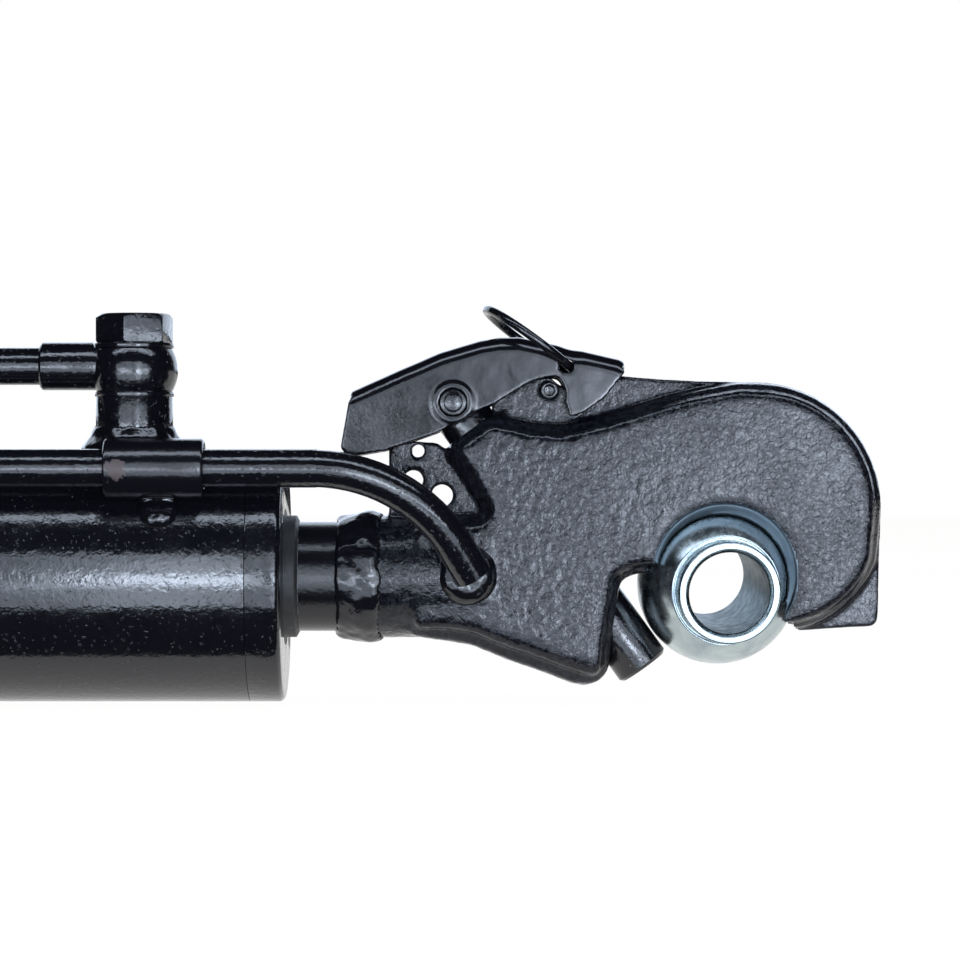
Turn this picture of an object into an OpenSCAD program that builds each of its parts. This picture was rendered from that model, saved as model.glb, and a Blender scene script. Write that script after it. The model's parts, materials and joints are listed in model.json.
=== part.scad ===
// Hydraulic top link of a tractor's three-point hitch, category 2: a double-acting cylinder
// with a quick-coupler hook on its rod and a lock valve on its barrel.
// The origin is the centre of the tractor-end ball, X runs along the cylinder to the hook and
// Z is up. The guide bar lies on the -Y side and the oil pipe and the latch lever on top.

/* [Cylinder] */
// Distance between the two ball centres with the rod fully in
closed_length = 560; // [540:1:580]
// Travel of the rod
stroke = 240; // [200:5:240]
// Outside diameter of the barrel
barrel_od = 80; // [78:1:84]
// Bore of the barrel
barrel_bore = 70; // [68:1:72]
// Diameter of the piston rod
rod_d = 35; // [34:0.5:36]
// Distance from the hook's ball back to the front face of the gland
gland_setback = 138; // [136:1:144]
// Radial gap between the rod and the parts that it slides in
rod_gap = 0.05; // [0.03:0.01:0.1]

/* [Balls] */
// Diameter of both swivel balls
ball_d = 51; // [50:0.5:52]
// Bore of both balls, for a category 2 pin
ball_bore = 25.7; // [25.5:0.1:26]
// Width of both balls over their collars
ball_w = 51; // [50:0.5:52]
// Outside diameter of the collars on a ball
ball_collar_d = 32.4; // [31:0.1:33]
// Gap between a ball and its seat
ball_gap = 0.3; // [0.25:0.05:0.4]
// Yaw at which the hook's ball lies in its seat
ball_yaw = 6; // [0:1:8]
// Pitch at which the hook's ball lies in its seat
ball_pitch = 5.5; // [0:0.5:8]

/* [Hook] */
// Thickness of the body of the hook
hook_t = 35; // [34:0.5:36]
// Thickness of the plate that runs round the hook's outline
plate_t = 11; // [10:0.5:12]
// How far the body widens from its face down to the plate
hook_draft = 2.5; // [2:0.25:3]
// Outer radius of the hook's nose
nose_r = 40; // [39:0.5:41]
// Diameter of the round shank that the rod is welded to
shank_d = 39; // [38:0.5:40]

/* [Latch] */
// Diameter of the latch bar
latch_d = 17.5; // [17:0.25:18]
// Length of the latch bar
latch_len = 115; // [112:1:116]
// Slope of the latch bar below horizontal
latch_slope = 54.2; // [54:0.1:55]
// Thickness of the lever's sheet
sheet_t = 3; // [2.5:0.25:3]
// Outer width of the lever
lever_w = 25; // [24.5:0.25:26]
// Wire of the pull ring
ring_wire = 2.8; // [2.4:0.1:3]
// Radius of the pull ring to the middle of its wire
ring_r = 17.5; // [17:0.25:18]

/* [Guide bar] */
// Diameter of the bar that keeps the rod from turning
guide_d = 12; // [11:0.5:12]
// Outside diameter of its sleeve
sleeve_od = 18.5; // [18:0.25:19]
// Length of its sleeve
sleeve_len = 31; // [28:0.5:34]
// Radius of the bend in the bar
guide_bend_r = 51; // [48:1:54]
// Angle of the bend in the bar
guide_bend_a = 60; // [56:1:62]

/* [Oil line] */
// Outside diameter of the steel oil pipe
pipe_d = 12; // [10:1:12]
// Height of the pipe above the cylinder's axis
pipe_z = 67.2; // [66:0.2:68]
// Size across flats of the banjo bolt's head
banjo_af = 22; // [21:1:24]
// Tapping diameter of the two hose ports
port_d = 15.2; // [15:0.1:15.4]

/* [Hidden] */
$fn = 64;

black = "#1c1c22";
zinc = "#b9c4c6";
steel = "#8d9095";
rubber = "#2b2b2b";
bronze = "#9a7b45";

barrel_r = barrel_od / 2;
bore_r = barrel_bore / 2;
rod_r = rod_d / 2;
ball_r = ball_d / 2;
seat_r = ball_r + ball_gap;

// Barrel, from the cap's flange to the gland's flange
eye_r = 41;
eye_t = 35;
tube_x0 = 52;
gland_face_x = closed_length - gland_setback;
gland_flange = 11;
tube_x1 = gland_face_x - gland_flange;
cap_face_x = 64;
gland_nose_x = gland_face_x - 58;
gland_land_x = gland_face_x - 38;
gland_nose_r = bore_r - 5;
bush_x = gland_nose_x + 4;
bush_len = 16;
bush_r = rod_r + 2.5;
rod_seal_x = bush_x + bush_len + 4;
rod_seal_len = 7;
rod_seal_r = rod_r + 4;
wiper_x = gland_face_x - 7;
wiper_r = rod_r + 4;
wiper_lip_r = 19.45;
wiper_lip_len = 3.6;
gland_ring_x = gland_land_x + 6;
gland_ring_wire = 1.75;

// Piston, which stops against the gland's nose
piston_len = 38;
piston_x1 = gland_nose_x - stroke - 1;
piston_x0 = piston_x1 - piston_len;
piston_gap = 0.3;
seal_gap = 0.06;
seal_len = 8;
wear_len = 12;
seal_depth = 5;
wear_depth = 2.5;
tail_r = 13.5;
nut_af = 41;
nut_len = 16;
tail_x0 = piston_x0 - nut_len - 2;
rod_x1 = closed_length - 114;

// Oil ports
banjo_x = closed_length - 186.4;
boss_r = 12.3;
boss_top = 57.4;
washer_t = 1.6;
washer_r = 12.6;
eye_h = 14;
eye_z0 = boss_top + washer_t;
head_z0 = eye_z0 + eye_h + washer_t;
head_h = 9.3;
bolt_r = 8;
bolt_turn = 20;
oil_r = 3;
socket_r = 7.7;
socket_x0 = banjo_x - 30;
pipe_r = pipe_d / 2;
pipe_wall = 1.5;

// Lock valve on the rear end of the barrel
valve_x = 80;
valve_lx = 44;
valve_wy = 68;
valve_z0 = 44.5;
valve_z1 = 84;
valve_bore_r = 9;
valve_bore_z = 62;
valve_front_x = valve_x + valve_lx / 2;
screw_dx = 16;
screw_dy = 13;
screw_r = 3;
screw_tip_z = 39.2;
screw_head_t = 7;
seat_y = 13;
seat_len = 4;
poppet_y = 18.5;
poppet_len = 6.5;
plug_y = 28;
chamber_y = 22;
passage_z = 50;
port_y = 17;
port_depth = 12;
pipe_port_x = 94;

// Guide bar beside and above the barrel
guide_r = guide_d / 2;
guide_y = -36.3;
guide_z = 34.4;
sleeve_x0 = closed_length - 192.3;
guide_x0 = sleeve_x0 - stroke - 12;
guide_bend_x = closed_length - 128;
guide_tail = 12;
bend_lap = 1.5;
bend_thinning = 0.15;
guide_lean = 20.8; // turns the plane of the bend in towards the hook

// Hook, in its own frame: X from the ball's centre, Z from the cylinder's axis
hook_x = closed_length;
seat_z = -2.4;
nose_x = 12;
nose_z = 22;
rivet_x = -84.3;
rivet_z = 55.4;
pin_x = -53.8;
pin_z = 59.3;
pin_r = 2.6;
pin_len = 24.4;
pin_depth = 8;
latch_r = latch_d / 2;
latch_bore_r = latch_r + 0.3;
latch_top = 11;      // how far the bar reaches past the rivet
mouth_t = 12;        // distance from the rivet to the bore's upper mouth
latch_boss_r = 13;
latch_boss_len = 46;
cross_r = 3;
cross_t = 30;        // distance from the rivet to the cross pin
slot_w = 8;
slot_t0 = cross_t - cross_r - 0.4;
slot_t1 = 70;
rivet_r = 4.2;
rivet_tip_r = 2.85;
lever_y = lever_w / 2;
ring_hole_x = -48.5;
ring_hole_z = 67;
ring_hole_r = 3.5;
ring_lean = 144;     // direction in which the ring stands, from +X towards +Z
ring_skew = 3;
web_holes = [[-95.5, 40.1, 2.1], [-97.1, 30.8, 3.2], [-87.9, 25.9, 3.5]];

function arc(cx, cz, r, a0, a1, n) =
    [for (i = [0:n]) let (a = a0 + (a1 - a0) * i / n) [cx + r * cos(a), cz + r * sin(a)]];

// The raised body of the hook, at its face
face_outline = concat(
    [[-96, -16.5], [-78, -19.2], [-68, -23.4], [-56, -27.6], [-46, -31.4]],
    arc(-42.6, -26.4, 5.6, 250, 345, 5),
    [[-36.6, -19.5], [-34.2, -4.3], [-33.2, 0.8], [-26.5, 3.6], [0, 6], [12, -15],
     [20, -15.2]],
    arc(18.5, 16.3, 30.9, -80, -20, 8),
    arc(nose_x, nose_z, nose_r - 3, 0, 90, 12),
    [[6.2, 59.2], [-6.4, 56.9], [-15.9, 54.7], [-25.4, 51.7], [-36.7, 48.3],
     [-49.3, 45.2], [-60.3, 45.9], [-71.7, 48.8], [-83.4, 40.6], [-72.3, 22.3], [-74, 17], [-96, 16.5]]
);
// The plate, which follows the whole outline of the hook
plate_outline = concat(
    [[-104.8, 10], [-36, 3], [-26.5, 4.6], [0, 8], [20.6, -17.6], [38.8, -16.3]],
    arc(48, -12.9, 3, 270, 350, 4),
    [[51.4, 5]],
    arc(nose_x, nose_z, nose_r, 0, 90, 16),
    [[-6, 62.3], [-18, 62.9], [-30.6, 63.9], [-36, 63.9], [-41, 62], [-46, 60.4], [-50.5, 61],
     [-54, 64], [-58, 64], [-64, 62], [-72, 58.5], [-72, 45], [-84, 39], [-89.5, 42.5],
     [-103, 43.7], [-104.8, 42]]
);
// The side plates of the lever, from the claw's tip round to the heel
claw_outline = concat(
    [[-47.3, 50.7], [-42.6, 52.3], [-36.2, 56.8], [-29.9, 65], [-29.9, 68.2], [-31.5, 69.1]],
    [[-50.5, 73.5], [-63.1, 76.1], [-69.5, 76.1], [-75.8, 75.1], [-88.5, 71.3], [-101.1, 65.9], [-117, 58.8]],
    [[-120, 41.1], [-118.7, 39.2], [-115.2, 38.4], [-106, 40], [-89.4, 45.7], [-75.8, 53],
     [-71.1, 54.9], [-60, 61.8]],
    arc(-54, 57.9, 5.4, 110, -20, 8)
);
// The folded top of the lever, one sheet thick
fold_outline = [
    [-29.9, 65.6], [-29.9, 68.2], [-31.5, 69.1], [-50.5, 73.5], [-63.1, 76.1], [-69.5, 76.1],
    [-75.8, 75.1], [-88.5, 71.3], [-101.1, 65.9], [-117, 58.8], [-116.9, 55.4], [-100, 62.8],
    [-87.5, 68.1], [-75.1, 72], [-69.3, 72.9], [-63.4, 72.9], [-51.1, 70.4]
];

module x_cylinder(x0, x1, r) {
    translate([x0, 0, 0]) rotate([0, 90, 0]) cylinder(r = r, h = x1 - x0);
}

module x_ring(x0, x1, r_out, r_in) {
    difference() {
        x_cylinder(x0, x1, r_out);
        x_cylinder(x0 - 1, x1 + 1, r_in);
    }
}

// Turns an outline of [radius, length] about the X axis
module x_turn() {
    rotate([0, 90, 0]) rotate_extrude($fn = 96) children();
}

// Stands an outline of [x, z] up and gives it a thickness along Y
module slab(t) {
    rotate([90, 0, 0]) translate([0, 0, -t / 2]) linear_extrude(t) children();
}

module y_cylinder(x, z, r, len) {
    translate([x, 0, z]) rotate([90, 0, 0]) translate([0, 0, -len / 2]) cylinder(r = r, h = len);
}

// A hexagon whose size is given across its flats
module hex(af, h) {
    cylinder(r = af / sqrt(3), h = h, $fn = 6);
}

// Places children on the latch bar's axis: Z runs down the bar from the rivet
module on_latch() {
    translate([hook_x + rivet_x, 0, rivet_z]) rotate([0, 90 + latch_slope, 0]) children();
}

// A closed helical wire along +Z, with every turn the same
module coil(r, wire, len, turns) {
    sides = 8;
    steps = 14;
    n = turns * steps;
    pts = [for (i = [0:n]) let (a = 360 * i / steps, z = wire / 2 + (len - wire) * i / n)
        for (j = [0:sides - 1]) let (b = 360 * j / sides, q = r + wire / 2 * cos(b))
            [q * cos(a), q * sin(a), z + wire / 2 * sin(b)]];
    skin = [for (i = [0:n - 1]) for (j = [0:sides - 1])
        let (k = (j + 1) % sides)
            [i * sides + j, (i + 1) * sides + j, (i + 1) * sides + k, i * sides + k]];
    ends = [[for (j = [0:sides - 1]) j], [for (j = [sides - 1:-1:0]) n * sides + j]];
    polyhedron(pts, concat(skin, ends));
}

module swivel_ball() {
    difference() {
        union() {
            intersection() {
                sphere(r = ball_r, $fn = 96);
                cube([ball_d + 2, 40, ball_d + 2], center = true);
            }
            rotate([90, 0, 0]) translate([0, 0, -ball_w / 2]) rotate_extrude($fn = 96)
                polygon([[0, 0], [ball_collar_d / 2 - 0.5, 0], [ball_collar_d / 2, 0.5],
                    [ball_collar_d / 2, ball_w - 0.5], [ball_collar_d / 2 - 0.5, ball_w], [0, ball_w]]);
        }
        y_cylinder(0, 0, ball_bore / 2, ball_w + 2);
        for (s = [-1, 1])
            rotate([s * 90, 0, 0]) translate([0, 0, ball_w / 2 - 1])
                cylinder(r1 = ball_bore / 2, r2 = ball_bore / 2 + 1.1, h = 1.1);
    }
}

// ---- Barrel ----

module barrel_tube() {
    color(black) difference() {
        x_ring(tube_x0, tube_x1, barrel_r, bore_r);
        for (x = [banjo_x, valve_x]) translate([x, 0, 0]) cylinder(r = 4, h = barrel_od);
    }
}

module rear_eye_cap() {
    color(black) difference() {
        union() {
            y_cylinder(0, 0, eye_r, eye_t);
            x_turn() polygon([[0, 20], [17.5, 20], [24, 34], [barrel_r - 2, 39], [barrel_r, 41],
                [barrel_r, tube_x0], [bore_r, tube_x0], [bore_r, cap_face_x - 1.5],
                [bore_r - 1.5, cap_face_x], [0, cap_face_x]]);
        }
        sphere(r = seat_r, $fn = 96);
        for (s = [-1, 1])
            rotate([s * 90, 0, 0]) translate([0, 0, eye_t / 2 - 2]) cylinder(r1 = 18, r2 = 21, h = 3);
        translate([0, 0, 20]) cylinder(r = 1.5, h = 30);
        translate([0, 0, eye_r - 5]) cylinder(r = 3, h = 6);
    }
}

module grease_nipple() {
    color(zinc) translate([0, 0, eye_r - 5]) difference() {
        union() {
            cylinder(r = 3, h = 5);
            translate([0, 0, 5]) hex(8, 3);
            translate([0, 0, 8]) cylinder(r1 = 2.6, r2 = 1.9, h = 3);
            translate([0, 0, 12]) sphere(r = 2.6);
        }
        translate([0, 0, -1]) cylinder(r = 0.8, h = 20);
    }
}

module gland_head() {
    color(black) difference() {
        x_turn() polygon([[rod_r + 0.5, gland_nose_x], [gland_nose_r, gland_nose_x],
            [gland_nose_r, gland_land_x], [bore_r, gland_land_x + 1], [bore_r, tube_x1],
            [barrel_r, tube_x1], [barrel_r, gland_face_x - 1.2], [barrel_r - 1.2, gland_face_x],
            [rod_r + 0.5, gland_face_x]]);
        x_cylinder(bush_x, bush_x + bush_len, bush_r);
        x_cylinder(rod_seal_x, rod_seal_x + rod_seal_len, rod_seal_r);
        x_cylinder(wiper_x, gland_face_x + 1, wiper_r);
        x_ring(gland_ring_x - 2.2, gland_ring_x + 2.2, bore_r + 1, bore_r - 2 * gland_ring_wire);
        for (a = [45, 225]) rotate([a, 0, 0])
            translate([gland_face_x - 6, 0, 29]) rotate([0, 90, 0]) cylinder(r = 3, h = 8);
    }
}

module gland_o_ring() {
    color(rubber) translate([gland_ring_x, 0, 0]) x_turn()
        translate([bore_r - gland_ring_wire, 0]) circle(r = gland_ring_wire, $fn = 24);
}

module guide_bush() {
    color(bronze) x_ring(bush_x, bush_x + bush_len, bush_r, rod_r + rod_gap);
}

module rod_seal() {
    color(rubber) x_ring(rod_seal_x, rod_seal_x + rod_seal_len, rod_seal_r, rod_r + rod_gap);
}

module rod_wiper() {
    color(black) difference() {
        x_turn() polygon([[rod_r + rod_gap, wiper_x], [wiper_r, wiper_x], [wiper_r, gland_face_x],
            [wiper_lip_r, gland_face_x], [wiper_lip_r, gland_face_x + wiper_lip_len],
            [rod_r + rod_gap, gland_face_x + wiper_lip_len + 1]]);
    }
}

module front_port_boss() {
    color(black) translate([banjo_x, 0, 0]) difference() {
        cylinder(r = boss_r, h = boss_top);
        translate([0, 0, boss_top - 14]) cylinder(r = bolt_r + 0.1, h = 15);
        cylinder(r = 4, h = boss_top);
        rotate([0, 90, 0]) translate([0, 0, -20]) cylinder(r = barrel_r, h = 40);
    }
}

module front_boss_weld() {
    color(black) translate([banjo_x, 0, 0]) difference() {
        rotate_extrude() polygon([[boss_r, 34], [17.3, 34], [16.8, 41.5], [14.2, 44.4],
            [12.9, 47.5], [boss_r, 48.5]]);
        rotate([0, 90, 0]) translate([0, 0, -20]) cylinder(r = barrel_r, h = 40);
    }
}

module banjo_bolt() {
    color(black) translate([banjo_x, 0, 0]) difference() {
        union() {
            translate([0, 0, boss_top - 13]) cylinder(r = bolt_r, h = head_z0 - boss_top + 13);
            translate([0, 0, head_z0]) rotate([0, 0, bolt_turn]) intersection() {
                hex(banjo_af, head_h);
                rotate_extrude() polygon([[0, 0], [12.1, 0], [12.7, 0.8], [12.7, head_h - 1.4],
                    [10.9, head_h], [0, head_h]]);
            }
        }
        translate([0, 0, boss_top - 14]) cylinder(r = oil_r, h = pipe_z - boss_top + 16);
        translate([0, 0, pipe_z]) rotate([0, 90, 0]) translate([0, 0, -bolt_r - 1])
            cylinder(r = 2.5, h = 2 * bolt_r + 2);
    }
}

module banjo_washers() {
    color(black) for (z = [boss_top, eye_z0 + eye_h]) translate([banjo_x, 0, z]) difference() {
        cylinder(r = washer_r, h = washer_t);
        translate([0, 0, -1]) cylinder(r = bolt_r + 0.1, h = washer_t + 2);
    }
}

module banjo_eye() {
    eye_mid = eye_z0 + eye_h / 2;
    color(black) difference() {
        union() {
            intersection() {
                translate([banjo_x, 0, eye_mid]) sphere(r = 13.9);
                translate([banjo_x - 20, -20, eye_z0]) cube([40, 40, eye_h]);
            }
            translate([0, 0, pipe_z]) x_turn() polygon([[0, socket_x0], [socket_r - 0.8, socket_x0],
                [socket_r, socket_x0 + 0.8], [socket_r, banjo_x - 12], [socket_r - 1.2, banjo_x - 8],
                [0, banjo_x - 8]]);
        }
        translate([banjo_x, 0, eye_z0 - 1]) cylinder(r = bolt_r + 0.1, h = eye_h + 2);
        translate([banjo_x, 0, pipe_z - 3.5]) cylinder(r = bolt_r + 1.6, h = 7);
        translate([banjo_x, 0, eye_z0 + eye_h]) cylinder(r = washer_r + 0.6, h = 4);
        translate([0, 0, pipe_z]) x_cylinder(socket_x0 - 1, socket_x0 + 14, pipe_r);
        translate([0, 0, pipe_z]) x_cylinder(socket_x0, banjo_x, oil_r);
    }
}

module oil_pipe() {
    color(black) translate([0, 0, pipe_z])
        x_ring(pipe_port_x, socket_x0 + 14, pipe_r, pipe_r - pipe_wall);
}

module pipe_nut() {
    color(zinc) translate([valve_front_x, 0, pipe_z]) difference() {
        rotate([0, 90, 0]) intersection() {
            hex(22, 13);
            rotate_extrude() polygon([[0, 0], [12.7, 0], [12.7, 9], [8.5, 13], [0, 13]]);
        }
        x_cylinder(-1, 14, pipe_r + 0.1);
    }
}

module pipe_ferrule() {
    color(zinc) translate([0, 0, pipe_z]) x_turn()
        polygon([[pipe_r, valve_front_x - 6], [pipe_r + 0.6, valve_front_x - 6],
            [pipe_r + 2, valve_front_x - 2], [pipe_r + 2, valve_front_x], [pipe_r, valve_front_x]]);
}

// ---- Lock valve ----

module valve_saddle() {
    color(black) difference() {
        translate([valve_x - 21, -18, 30]) cube([42, 36, valve_z0 - 30]);
        x_cylinder(0, 2 * valve_x, barrel_r);
        translate([valve_x, 0, 30]) cylinder(r = 4, h = 30);
        for (sx = [-1, 1], sy = [-1, 1])
            translate([valve_x + sx * screw_dx, sy * screw_dy, 30]) cylinder(r = screw_r, h = 30);
        translate([valve_x, 0, valve_z0 - 1.5]) cylinder(r = 8, h = 3);
    }
}

module valve_o_ring() {
    color(rubber) translate([valve_x, 0, valve_z0 - 0.75]) rotate_extrude()
        translate([7.2, 0]) circle(r = 0.74, $fn = 24);
}

module valve_body() {
    color(zinc) difference() {
        translate([valve_x - valve_lx / 2, -valve_wy / 2, valve_z0])
            cube([valve_lx, valve_wy, valve_z1 - valve_z0]);
        y_cylinder(valve_x, valve_bore_z, valve_bore_r, valve_wy + 2);
        for (sx = [-1, 1], sy = [-1, 1]) translate([valve_x + sx * screw_dx, sy * screw_dy, 0]) {
            cylinder(r = screw_r + 0.3, h = 100);
            translate([0, 0, valve_z1 - screw_head_t]) cylinder(r = 5.3, h = 10);
        }
        for (s = [-1, 1]) {
            translate([valve_x, s * port_y, valve_z1 - port_depth]) cylinder(r = port_d / 2, h = 20);
            translate([valve_x, s * 12, valve_bore_z]) cylinder(r = 2, h = valve_z1 - valve_bore_z - 2);
        }
        // Oil way to the rear chamber
        translate([valve_x, 0, 40]) cylinder(r = 4, h = passage_z - 39);
        translate([valve_x, 0, passage_z - 2]) rotate([90, 0, 0]) cylinder(r = 2, h = chamber_y + 2);
        translate([valve_x, -chamber_y, passage_z - 3]) cylinder(r = 2, h = valve_bore_z - passage_z);
        // Oil way to the pipe
        translate([0, 0, pipe_z]) x_cylinder(pipe_port_x, valve_front_x + 1, pipe_r + 0.1);
        translate([0, 0, pipe_z]) x_turn() polygon([[0, valve_front_x - 6], [pipe_r + 0.7, valve_front_x - 6],
            [pipe_r + 2.1, valve_front_x - 2], [pipe_r + 2.1, valve_front_x + 1], [0, valve_front_x + 1]]);
        translate([pipe_port_x + 1.5, 0, pipe_z]) rotate([-90, 0, 0]) cylinder(r = 2, h = chamber_y + 2);
        translate([0, chamber_y, pipe_z]) x_cylinder(valve_x, pipe_port_x + 2, 2);
    }
}

module valve_screws() {
    color(steel) for (sx = [-1, 1], sy = [-1, 1])
        translate([valve_x + sx * screw_dx, sy * screw_dy, 0]) difference() {
            union() {
                translate([0, 0, valve_z1 - screw_head_t]) cylinder(r = 5, h = 6);
                translate([0, 0, screw_tip_z])
                    cylinder(r = screw_r - 0.02, h = valve_z1 - screw_head_t - screw_tip_z);
            }
            translate([0, 0, valve_z1 - 4]) hex(5, 4);
        }
}

module valve_seats() {
    color(steel) for (s = [-1, 1]) translate([valve_x, 0, valve_bore_z]) rotate([s * 90, 0, 0])
        translate([0, 0, seat_y]) difference() {
            cylinder(r = valve_bore_r, h = seat_len);
            translate([0, 0, -1]) cylinder(r = 4, h = seat_len + 2);
        }
}

module valve_plugs() {
    color(zinc) for (s = [-1, 1]) translate([valve_x, 0, valve_bore_z]) rotate([s * 90, 0, 0])
        difference() {
            union() {
                translate([0, 0, plug_y]) cylinder(r = valve_bore_r, h = valve_wy / 2 - plug_y);
                translate([0, 0, valve_wy / 2]) intersection() {
                    rotate([0, 0, 30]) hex(24, 7);
                    rotate_extrude() polygon([[0, 0], [14, 0], [14, 5.5], [12, 7], [0, 7]]);
                }
            }
            translate([0, 0, plug_y - 1]) cylinder(r = 5.2, h = 4);
        }
}

// A poppet that points towards the pilot piston; s is the side of the valve that it is on
module poppet(s) {
    color(steel) translate([valve_x, 0, valve_bore_z]) rotate([-s * 90, 0, 0]) difference() {
        rotate_extrude() polygon([[0, seat_y + 0.5], [1.8, seat_y + 0.5], [1.8, 16.4], [3.6, 16.8],
            [5.6, poppet_y], [8.7, poppet_y], [8.7, poppet_y + poppet_len],
            [0, poppet_y + poppet_len]]);
        translate([0, 0, poppet_y + 2]) cylinder(r = 5, h = poppet_len);
    }
}

module poppet_left() { poppet(-1); }
module poppet_right() { poppet(1); }

module poppet_spring(s) {
    color(steel) translate([valve_x, 0, valve_bore_z]) rotate([-s * 90, 0, 0])
        translate([0, 0, poppet_y + 2.1]) coil(3.9, 1, 10.2, 5);
}

module poppet_spring_left() { poppet_spring(-1); }
module poppet_spring_right() { poppet_spring(1); }

module pilot_piston() {
    color(steel) translate([valve_x, 0, valve_bore_z]) rotate([90, 0, 0]) union() {
        translate([0, 0, -7]) cylinder(r = valve_bore_r - 0.06, h = 14);
        translate([0, 0, -11.5]) cylinder(r = 2.4, h = 23);
    }
}

// ---- Guide of the anti-rotation bar ----

module guide_sleeve() {
    color(black) translate([0, guide_y, guide_z]) difference() {
        x_turn() polygon([[0, sleeve_x0], [sleeve_od / 2 - 0.6, sleeve_x0], [sleeve_od / 2, sleeve_x0 + 0.6],
            [sleeve_od / 2, sleeve_x0 + sleeve_len - 0.6], [sleeve_od / 2 - 0.6, sleeve_x0 + sleeve_len],
            [0, sleeve_x0 + sleeve_len]]);
        x_cylinder(sleeve_x0 - 1, sleeve_x0 + sleeve_len + 1, guide_r + 0.3);
    }
}

// A tack weld under the middle of the sleeve, with a toe that runs down the barrel
module sleeve_weld() {
    $fn = 240; // the gap that it fills is thin, so its round faces are fine
    seat_a = atan2(-guide_y, guide_z);
    mid_x = sleeve_x0 + sleeve_len / 2 + 1;
    color(black) difference() {
        union() {
            rotate([seat_a, 0, 0]) translate([mid_x - 5, -6, 38]) cube([10, 12, 9]);
            rotate([seat_a + 11, 0, 0]) translate([mid_x, 0, 38]) rotate_extrude()
                polygon([[0, 0], [6.5, 0], [6.3, 2.2], [5, 3.8], [3, 4.6], [0, 4.8]]);
        }
        x_cylinder(sleeve_x0, sleeve_x0 + sleeve_len, barrel_r);
        translate([0, guide_y, guide_z]) x_cylinder(sleeve_x0, sleeve_x0 + sleeve_len, sleeve_od / 2);
        translate([0, guide_y, guide_z]) rotate([seat_a, 0, 0])
            translate([sleeve_x0, -10, 0]) cube([sleeve_len, 20, 20]);
    }
}

module rear_ball() {
    color(zinc) swivel_ball();
}

// ---- Rod ----

module piston_rod() {
    color(zinc) x_turn() polygon([[0, tail_x0], [tail_r - 1.5, tail_x0], [tail_r, tail_x0 + 1.5],
        [tail_r, piston_x1], [rod_r, piston_x1], [rod_r, rod_x1], [0, rod_x1]]);
}

module piston() {
    wear_x = piston_x0 + 6;
    seal_x = piston_x0 + 22;
    color(steel) difference() {
        x_ring(piston_x0, piston_x1, bore_r - piston_gap, tail_r);
        x_ring(wear_x, wear_x + wear_len, bore_r + 1, bore_r - wear_depth);
        x_ring(seal_x, seal_x + seal_len, bore_r + 1, bore_r - seal_depth);
    }
}

module piston_wear_ring() {
    color(bronze) x_ring(piston_x0 + 6, piston_x0 + 6 + wear_len, bore_r - seal_gap, bore_r - wear_depth);
}

module piston_seal() {
    color(rubber) x_ring(piston_x0 + 22, piston_x0 + 22 + seal_len, bore_r - seal_gap, bore_r - seal_depth);
}

module piston_nut() {
    color(steel) difference() {
        translate([piston_x0 - nut_len, 0, 0]) rotate([0, 90, 0]) hex(nut_af, nut_len);
        x_cylinder(piston_x0 - nut_len - 1, piston_x0 + 1, tail_r);
    }
}

module hook_weld() {
    color(black) x_turn() polygon([[rod_r, rod_x1 - 8], [rod_r + 1.2, rod_x1 - 7], [shank_d / 2, rod_x1 - 4],
        [20.6, rod_x1], [20.9, rod_x1 + 3], [shank_d / 2, rod_x1 + 7.5], [shank_d / 2, rod_x1],
        [rod_r, rod_x1]]);
}

// Everything that is cut out of the hook for its ball, latch, pins and web holes
module hook_cuts() {
    translate([0, 0, seat_z]) {
        sphere(r = seat_r, $fn = 96);
        translate([0, 0, -50]) cylinder(r = seat_r, h = 50, $fn = 96);
        for (s = [-1, 1])
            translate([1.6, 0, 3]) rotate([s * 90, 0, 0]) translate([0, 0, hook_t / 2 - 4])
                cylinder(r1 = 19.5, r2 = 24, h = 5, $fn = 96);
    }
    y_cylinder(pin_x, pin_z, pin_r, pin_len);
    for (h = web_holes) y_cylinder(h[0], h[1], h[2], hook_t);
}

module shank() {
    x_cylinder(rod_x1, hook_x - 74, shank_d / 2);
}

module hook_casting() {
    color(black) difference() {
        union() {
            translate([hook_x, 0, 0]) {
                slab(plate_t) polygon(plate_outline);
                slab(hook_t) polygon(face_outline);
                slab(hook_t - 11) offset(r = hook_draft) polygon(face_outline);
            }
            shank();
            on_latch() translate([0, 0, mouth_t]) cylinder(r = latch_boss_r, h = latch_boss_len);
        }
        translate([hook_x, 0, 0]) hook_cuts();
        on_latch() translate([0, 0, -20]) cylinder(r = latch_bore_r, h = 160);
        on_latch() translate([0, 0, cross_t]) rotate([90, 0, 0]) translate([0, 0, -hook_t])
            cylinder(r = cross_r, h = hook_t + 14.5);
    }
}

// A straight bar, a bend and a short tail, cut off on the shank that it is welded to.
// The bend is drawn a little thinner, as a bent bar is, and starts inside the straight parts.
module anti_rotation_bar() {
    color(black) difference() {
        translate([guide_bend_x, guide_y, guide_z]) union() {
            x_cylinder(guide_x0 - guide_bend_x, bend_lap, guide_r);
            rotate([guide_lean, 0, 0]) {
                translate([0, 0, -guide_bend_r]) rotate([90, 0, 0]) rotate([0, 0, 90 - guide_bend_a])
                    rotate_extrude(angle = guide_bend_a) translate([guide_bend_r, 0])
                        circle(r = guide_r - bend_thinning);
                translate([guide_bend_r * sin(guide_bend_a), 0, -guide_bend_r * (1 - cos(guide_bend_a))])
                    rotate([0, 90 + guide_bend_a, 0]) translate([0, 0, -bend_lap])
                        cylinder(r = guide_r, h = guide_tail + bend_lap);
            }
        }
        shank();
    }
}

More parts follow.
